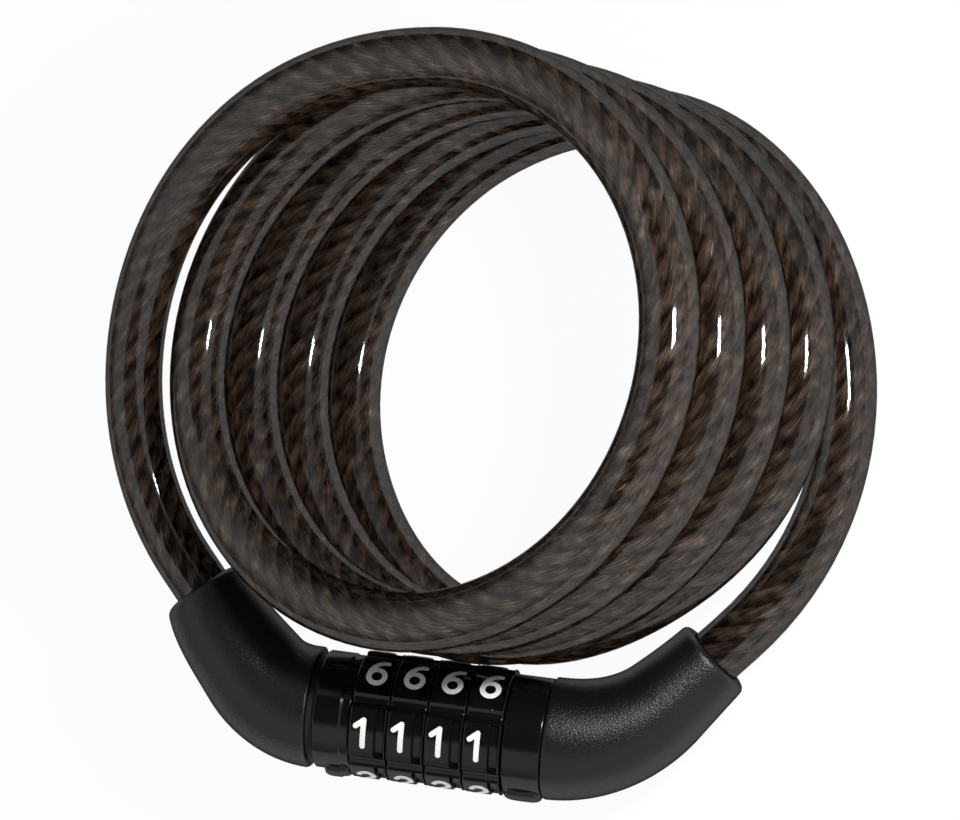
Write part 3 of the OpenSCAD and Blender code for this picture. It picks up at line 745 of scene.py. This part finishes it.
endRing = {
    "radius": 8.2 * mm,
    "edge": 0.25 * mm,
    "edgeSteps": 4,
    "rows": 30,
    "raySpacing": 4,         # degrees, apart from the lug's and the slot's own sectors
    "lugSector": 27,
    "slotSector": 20,
    "leftSpan": (-15.9 * mm, -10.7 * mm),    # from the middle of the dials
    "rightSpan": (10.7 * mm, 16.1 * mm),
    "bore": 4.3 * mm,
    "washerBore": 6.15 * mm,     # recess for the washers beside the wheels
    "leftWasherIn": 0.15 * mm,
    "rightWasherIn": 0.64 * mm,
    "clipBore": 5.75 * mm,   # recess for the retaining ring
    "clipIn": 1.6 * mm,
    "stepAt": -12.05 * mm,   # the left ring is a little thinner beside the wheels
    "stepHalf": 0.1 * mm,
    "stepDown": 0.18 * mm,
    "slotHalf": 1.25 * mm,   # way for the bolt's fins
    "slotReach": 5.35 * mm,
    "leftLug": (-14.6 * mm, -10.7 * mm),     # the code mark, a rounded lug
    "lugAngle": 91,
    "lugSpan": 22,
    "lugRays": 16,
    "lugRaySpacing": 1.5,
    "lugHeight": 1 * mm,
}


def ringRadius(x, first, last):
    rounded = endRing["edge"]
    fromEnd = min(x - first, last - x)
    drop = rounded - math.sqrt(max(rounded ** 2 - max(rounded - fromEnd, 0) ** 2, 0))
    radius = endRing["radius"] - drop
    if last < 0:
        stepAt, half = endRing["stepAt"], endRing["stepHalf"]
        radius -= endRing["stepDown"] * smoothStep(stepAt - half, stepAt + half, x)
    return radius


def lugRise(x, angle, lugFrom, lugTo):
    across = (2 * x - lugFrom - lugTo) / (lugTo - lugFrom)
    around = (angle - endRing["lugAngle"]) / endRing["lugSpan"]
    return endRing["lugHeight"] * max(1 - across ** 4 - around ** 2, 0) ** 0.4


# bore of a ring, with the way for the bolt's fins underneath
def slotRadius(bore, angle):
    turn = abs(math.radians(angle - 180))
    if turn > math.pi / 3:
        return bore
    reach = endRing["slotReach"] / math.cos(turn)
    side = endRing["slotHalf"] / math.sin(turn) if turn else reach
    return max(bore, min(reach, side))


# evenly spaced rays, with closer ones across the lug and at the corners of the slot
def ringAngles():
    lugRays = range(-endRing["lugRays"], endRing["lugRays"] + 1)
    lug = [endRing["lugAngle"] + endRing["lugRaySpacing"] * i for i in lugRays]
    corner = math.degrees(math.atan(endRing["slotHalf"] / endRing["slotReach"]))
    mouth = math.degrees(math.asin(endRing["slotHalf"] / endRing["bore"]))
    slotTurns = (mouth, (mouth + corner) / 2, corner, corner / 2)
    slot = [180 + sign * turn for sign in (-1, 1) for turn in slotTurns]
    even = range(0, 360, endRing["raySpacing"])
    rest = [a for a in even if abs(a - endRing["lugAngle"]) >= endRing["lugSector"]
            and abs(a - 180) >= endRing["slotSector"]]
    return sorted(lug + slot + [162, 180, 198] + rest)


# boreRows: distance along the axis, radius, and whether the fins' way is cut there
def addEndRing(name, node, span, lugSpan, boreRows, material):
    first, last = span
    angles = ringAngles()
    rounded = [inward for inward, drop in quarterRound(endRing["edge"], endRing["edgeSteps"])]
    inside = last - first - 2 * endRing["edge"]
    stations = [first + e for e in rounded]
    stations += [first + endRing["edge"] + inside * i / endRing["rows"]
                 for i in range(1, endRing["rows"])]
    stations += [last - e for e in reversed(rounded)]
    points = []
    for x in stations:
        base = ringRadius(x, first, last)
        points += [aroundAxis(x, base + lugRise(x, angle, *lugSpan), angle) for angle in angles]
    for x, bore, slotted in boreRows:
        points += [aroundAxis(x, slotRadius(bore, angle) if slotted else bore, angle)
                   for angle in angles]
    faces = [face[::-1] for face in ringFaces(len(points) // len(angles), len(angles), shell=True)]
    piece = meshPiece(name, points, faces, [material], None, 50)
    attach(piece, "dial_body")
    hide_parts(node)


def addEndRings(material):
    bore, washerBore, clipBore = endRing["bore"], endRing["washerBore"], endRing["clipBore"]
    first, last = endRing["leftSpan"]
    washerFloor, clipFloor = last - endRing["leftWasherIn"], first + endRing["clipIn"]
    addEndRing("leftEndRing", "left_end_ring", endRing["leftSpan"], endRing["leftLug"], [
        (last, washerBore, False), (washerFloor, washerBore, False), (washerFloor, bore, True),
        (clipFloor, bore, True), (clipFloor, clipBore, False), (first, clipBore, False),
    ], material)
    first, last = endRing["rightSpan"]
    washerFloor = first + endRing["rightWasherIn"]
    addEndRing("rightEndRing", "right_end_ring", endRing["rightSpan"], endRing["rightSpan"], [
        (last, bore, False), (washerFloor, bore, False),
        (washerFloor, washerBore, False), (first, washerBore, False),
    ], material)


addEndRings(blackAcetal)
print("end rings made")


# printed numbers: strokes with round ends, laid on the pads

digit = {
    "height": 4.5 * mm,
    "stroke": 0.74 * mm,
    "raise": 0.012 * mm,     # underside of the ink above the pad
    "thick": 0.035 * mm,
    "strokeLift": 0.004 * mm,    # a second stroke lies this much higher, where two cross
    "padMiddle": -0.75 * mm,
    "step": 0.25 * mm,       # longest straight piece of a stroke, so that it follows the wheel
    "capSteps": 8,
    # each wheel was printed a little differently
    "shiftUp": [0.05 * mm, 0.15 * mm, 0.2 * mm, 0.3 * mm],
    "shiftRight": {2: 0.45 * mm, 6: 0.9 * mm},
    "wear": 0.4 * mm,
    "ink": "#f1f1ee",
    "wornInk": "#b9b9b6",
}


# pad printing ink: dead white, slightly chalky, a little worn where fingers turn the wheels
def padInk():
    material, tree = startMaterial("padInk")
    where = addNode(tree, "ShaderNodeTexCoord")
    wear = addNode(tree, "ShaderNodeTexNoise",
                   {"Scale": 1 / digit["wear"], "Detail": 4.0, "Roughness": 0.7},
                   {"Vector": where.outputs["Object"]})
    tint = addNode(tree, "ShaderNodeValToRGB", links={"Fac": wear.outputs["Fac"]})
    ramp = tint.color_ramp.elements
    ramp[0].position, ramp[0].color = 0.25, linearColour(digit["wornInk"])
    ramp[1].position, ramp[1].color = 0.45, linearColour(digit["ink"])
    ink = addNode(tree, "ShaderNodeBsdfPrincipled", {"Roughness": 0.5, "IOR": 1.45},
                  {"Base Color": tint.outputs["Color"]})
    finishMaterial(tree, ink.outputs["BSDF"])
    return material


def arcPath(centre, size, start, stop, steps=20):
    path = []
    for i in range(steps + 1):
        turn = math.radians(start + (stop - start) * i / steps)
        path.append((centre[0] + size[0] * math.cos(turn), centre[1] + size[1] * math.sin(turn)))
    return path


# middle lines of the numbers in a box one high round the origin, one for each smooth stroke
sixArm = [(0.25, 0.41), (0.16, 0.42), (0.06, 0.39), (-0.03, 0.33), (-0.11, 0.24), (-0.18, 0.13),
          (-0.225, 0)]
digitPaths = {
    1: [[(-0.19, 0.22), (0.05, 0.42)], [(0.05, 0.42), (0.05, -0.42)]],
    2: [arcPath((0, 0.18), (0.23, 0.24), 165, -20) + [(-0.22, -0.41)],
        [(-0.22, -0.42), (0.25, -0.42)]],
    3: [arcPath((0, 0.21), (0.21, 0.21), 150, -90), arcPath((0, -0.2), (0.24, 0.22), 90, -150)],
    4: [[(0.27, -0.18), (-0.26, -0.18)], [(-0.26, -0.18), (0.12, 0.42)],
        [(0.12, 0.42), (0.12, -0.42)]],
    5: [[(0.22, 0.42), (-0.17, 0.42)], [(-0.17, 0.42), (-0.2, 0.06)],
        arcPath((0, -0.15), (0.25, 0.27), 130, -150)],
    6: [sixArm + arcPath((0, -0.17), (0.25, 0.25), 160, 520, 30)],
}


def evenPath(path, longest):
    line = [Vector(path[0])]
    for before, after in zip(path, path[1:]):
        start, stop = Vector(before), Vector(after)
        count = max(1, math.ceil((stop - start).length / longest))
        line += [start.lerp(stop, i / count) for i in range(1, count + 1)]
    return line


# outline of a stroke: up its left side, round the end, down its right side, round the start
def strokeOutline(path):
    line = evenPath([(x * digit["height"], y * digit["height"]) for x, y in path], digit["step"])
    half = digit["stroke"] / 2
    left, right = [], []
    for i, point in enumerate(line):
        heading = (line[min(i + 1, len(line) - 1)] - line[max(i - 1, 0)]).normalized()
        across = Vector((-heading.y, heading.x)) * half
        left.append(point + across)
        right.append(point - across)
    caps = []
    for point, edge in ((line[-1], left[-1]), (line[0], right[0])):
        start = math.degrees(math.atan2(edge.y - point.y, edge.x - point.x))
        caps.append(arcPath(point, (half, half), start, start - 180, digit["capSteps"])[1:-1])
    return left + caps[0] + right[::-1] + caps[1], len(line)


# a thin slab on such an outline of count points, whose middle line has so many steps
def strokeFaces(bottom, count, steps):
    top = bottom + count
    backFrom = steps + digit["capSteps"] - 1

    def opposite(i):
        return backFrom + steps - 1 - i

    faces = []
    for i in range(steps - 1):
        faces.append((top + i, top + opposite(i), top + opposite(i + 1), top + i + 1))
        faces.append((bottom + i, bottom + i + 1, bottom + opposite(i + 1), bottom + opposite(i)))
    for cap in (list(range(steps - 1, backFrom + 1)), list(range(opposite(0), count)) + [0]):
        faces.append(tuple(top + i for i in reversed(cap)))
        faces.append(tuple(bottom + i for i in cap))
    for i in range(count):
        j = (i + 1) % count
        faces.append((top + i, top + j, bottom + j, bottom + i))
    return faces


def addDigits(number, material):
    points, faces = [], []
    padRadius = dial["width"] / 2
    up = digit["shiftUp"][number - 1]
    for value, paths in digitPaths.items():
        centreAngle = dial["row"] + (value - 1) * 360 / dial["places"]
        middle = wheelMiddle(number) + digit["padMiddle"] + digit["shiftRight"].get(value, 0)
        for order, path in enumerate(paths):
            outline, steps = strokeOutline(path)
            faces += strokeFaces(len(points), len(outline), steps)
            for height in (0, digit["thick"]):
                radius = padRadius + digit["raise"] + order * digit["strokeLift"] + height
                for u, v in outline:
                    angle = centreAngle - math.degrees((v + up) / padRadius)
                    points.append(aroundAxis(middle + u, radius, angle))
    piece = meshPiece("digits%d" % number, points, faces, [material])
    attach(piece, "wheel_%d" % number)


whiteInk = padInk()
for number in range(1, dial["count"] + 1):
    addDigits(number, whiteInk)
print("numbers printed")


# CAD nodes that keep their own shape

# sulphur-black nitrile rubber, moulded: flat, dusty black
def nitrileRubber():
    material, tree = startMaterial("nitrileRubber")
    where = addNode(tree, "ShaderNodeTexCoord")
    dust = addNode(tree, "ShaderNodeTexNoise", {"Scale": 1 / (0.5 * mm), "Detail": 4.0},
                   {"Vector": where.outputs["Object"]})
    tint = addNode(tree, "ShaderNodeValToRGB", links={"Fac": dust.outputs["Fac"]})
    tint.color_ramp.elements[0].color = linearColour("#0a0a0a")
    tint.color_ramp.elements[1].color = linearColour("#1d1d1c")
    rubber = addNode(tree, "ShaderNodeBsdfPrincipled", {"Roughness": 0.75},
                     {"Base Color": tint.outputs["Color"]})
    finishMaterial(tree, rubber.outputs["BSDF"])
    return material


# a worked metal: turning, drawing or casting leaves patches that differ in shine and colour
def workedMetal(name, dark, light, roughness, markSize, depth):
    material, tree = startMaterial(name)
    where = addNode(tree, "ShaderNodeTexCoord")
    marks = addNode(tree, "ShaderNodeTexNoise",
                    {"Scale": 1 / markSize, "Detail": 5.0, "Roughness": 0.6},
                    {"Vector": where.outputs["Object"]})
    tint = addNode(tree, "ShaderNodeValToRGB", links={"Fac": marks.outputs["Fac"]})
    ramp = tint.color_ramp.elements
    ramp[0].position, ramp[0].color = 0.3, linearColour(dark)
    ramp[1].position, ramp[1].color = 0.7, linearColour(light)
    dullness = addNode(tree, "ShaderNodeMapRange",
                       {"To Min": roughness - 0.07, "To Max": roughness + 0.07},
                       {"Value": marks.outputs["Fac"]})
    bump = addNode(tree, "ShaderNodeBump", {"Strength": 0.4, "Distance": depth},
                   {"Height": marks.outputs["Fac"]})
    metal = addNode(tree, "ShaderNodeBsdfPrincipled", {"Metallic": 1.0}, {
        "Base Color": tint.outputs["Color"],
        "Roughness": dullness.outputs["Result"],
        "Normal": bump.outputs["Normal"],
    })
    finishMaterial(tree, metal.outputs["BSDF"])
    return material


innerParts = [
    (nitrileRubber(), ["seam_seal"]),
    (workedMetal("turnedSteel", "#8f9193", "#b9bbbd", 0.3, 0.4 * mm, 0.01 * mm),
     ["locking_bolt", "core_tube", "core_plug", "core_pin", "bolt_pin"]),
    (workedMetal("drawnSpringSteel", "#6f7173", "#a7a9ab", 0.25, 0.2 * mm, 0.005 * mm),
     ["eject_spring", "click_spring", "wave_washer", "retaining_ring", "spacer_washers",
      "left_clamp_screw", "right_clamp_screw"]),
    (workedMetal("turnedBrass", "#b08d4e", "#d9bd7c", 0.28, 0.3 * mm, 0.01 * mm),
     ["gate_ring_1", "gate_ring_2", "gate_ring_3", "gate_ring_4"]),
    (workedMetal("castZinc", "#7d7f80", "#a3a5a6", 0.5, 0.8 * mm, 0.04 * mm),
     ["left_anchor", "right_anchor"]),
    (workedMetal("platedSteel", "#a9abad", "#cfd1d3", 0.22, 0.5 * mm, 0.01 * mm),
     ["left_ferrule", "right_ferrule"]),
]
for material, names in innerParts:
    for name in names:
        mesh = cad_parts[name].data
        mesh.materials.clear()
        mesh.materials.append(material)
print("inner parts finished")


# table, light and surroundings

studio = {
    "floorSize": 3,
    "floorColour": "#f2f2f2",
    "plainWhite": 0.95,      # share of the table's look that is plain white
    "gapToward": (0.208, -0.03, 0.978),      # middle of the dark gap overhead
    # nearness to that direction and brightness: low walls, panels, the gap's bright edge, the gap
    "panels": [(0.05, 0.25), (0.45, 0.8), (0.8, 0.8), (0.835, 1), (0.88, 0.07)],
    "frontStrength": 1.05,
    "backStrength": 0.3,
    "backOver": (0.1, 0.8),  # how far round to the back it dims, from none to all of it
}
lamp = {
    "around": (0, 0.04, 0.02),
    "toward": (0.10, 0.027, 0.115),
    "away": 0.155,
    "size": 0.02,
    "watts": 0.26,
}


# matt white laminate: mostly plain white to the eye, the rest keeps the shadow
def whiteTable():
    material, tree = startMaterial("whiteTable")
    rays = addNode(tree, "ShaderNodeLightPath")
    direct = addNode(tree, "ShaderNodeMath", {"operation": "MAXIMUM"},
                     {0: rays.outputs["Is Camera Ray"], 1: rays.outputs["Is Glossy Ray"]})
    seen = addNode(tree, "ShaderNodeMath", {"operation": "MAXIMUM"},
                   {0: direct.outputs["Value"], 1: rays.outputs["Is Transmission Ray"]})
    share = addNode(tree, "ShaderNodeMath", {"operation": "MULTIPLY", 1: studio["plainWhite"]},
                    {0: seen.outputs["Value"]})
    paper = addNode(tree, "ShaderNodeBsdfDiffuse", {"Color": linearColour(studio["floorColour"])})
    white = addNode(tree, "ShaderNodeEmission", {"Color": (1, 1, 1, 1), "Strength": 1.0})
    both = addNode(tree, "ShaderNodeMixShader", None, {
        "Fac": share.outputs["Value"], 1: paper.outputs["BSDF"], 2: white.outputs["Emission"]})
    finishMaterial(tree, both.outputs["Shader"])
    return material


def addFloor():
    half = studio["floorSize"] / 2
    corners = [(-half, -half, 0), (half, -half, 0), (half, half, 0), (-half, half, 0)]
    floor = meshPiece("floor", corners, [(0, 1, 2, 3)], [whiteTable()])


# a dark gap overhead, white panels round it, dimmer low down and behind the coil
def addSurroundings():
    world = bpy.data.worlds.new("tent")
    bpy.context.scene.world = world
    world.use_nodes = True
    tree = world.node_tree
    tree.nodes.clear()
    where = addNode(tree, "ShaderNodeTexCoord")
    near = addNode(tree, "ShaderNodeVectorMath",
                   {"operation": "DOT_PRODUCT", 1: studio["gapToward"]},
                   {0: where.outputs["Generated"]})
    shade = addNode(tree, "ShaderNodeValToRGB", links={"Fac": near.outputs["Value"]})
    ramp = shade.color_ramp.elements
    panels = studio["panels"]
    ramp[0].position, ramp[1].position = panels[0][0], panels[-1][0]
    for position, level in panels[1:-1]:
        ramp.new(position)
    for stop, (position, level) in zip(ramp, panels):
        stop.color = (level, level, level, 1)
    parts = addNode(tree, "ShaderNodeSeparateXYZ", links={"Vector": where.outputs["Generated"]})
    behind = addNode(tree, "ShaderNodeMapRange", {
        "From Min": studio["backOver"][0],
        "From Max": studio["backOver"][1],
        "To Min": studio["frontStrength"],
        "To Max": studio["backStrength"],
    }, {"Value": parts.outputs["Y"]})
    sky = addNode(tree, "ShaderNodeBackground", None,
                  {"Color": shade.outputs["Color"], "Strength": behind.outputs["Result"]})
    addNode(tree, "ShaderNodeOutputWorld", links={"Surface": sky.outputs["Background"]})


# a small soft lamp up and to the right, for the short glints along the cable
def addLamp():
    data = bpy.data.lights.new("nearLamp", "AREA")
    data.shape = "RECTANGLE"
    data.size = data.size_y = lamp["size"]
    data.energy = lamp["watts"]
    light = bpy.data.objects.new("nearLamp", data)
    toward = Vector(lamp["toward"]).normalized()
    light.location = Vector(lamp["around"]) + toward * lamp["away"]
    light.rotation_euler = (-toward).to_track_quat("-Z", "Y").to_euler()
    light.visible_camera = False
    bpy.context.scene.collection.objects.link(light)


addFloor()
addSurroundings()
addLamp()
bpy.context.scene.view_settings.view_transform = "Standard"
print("table, light and surroundings made")
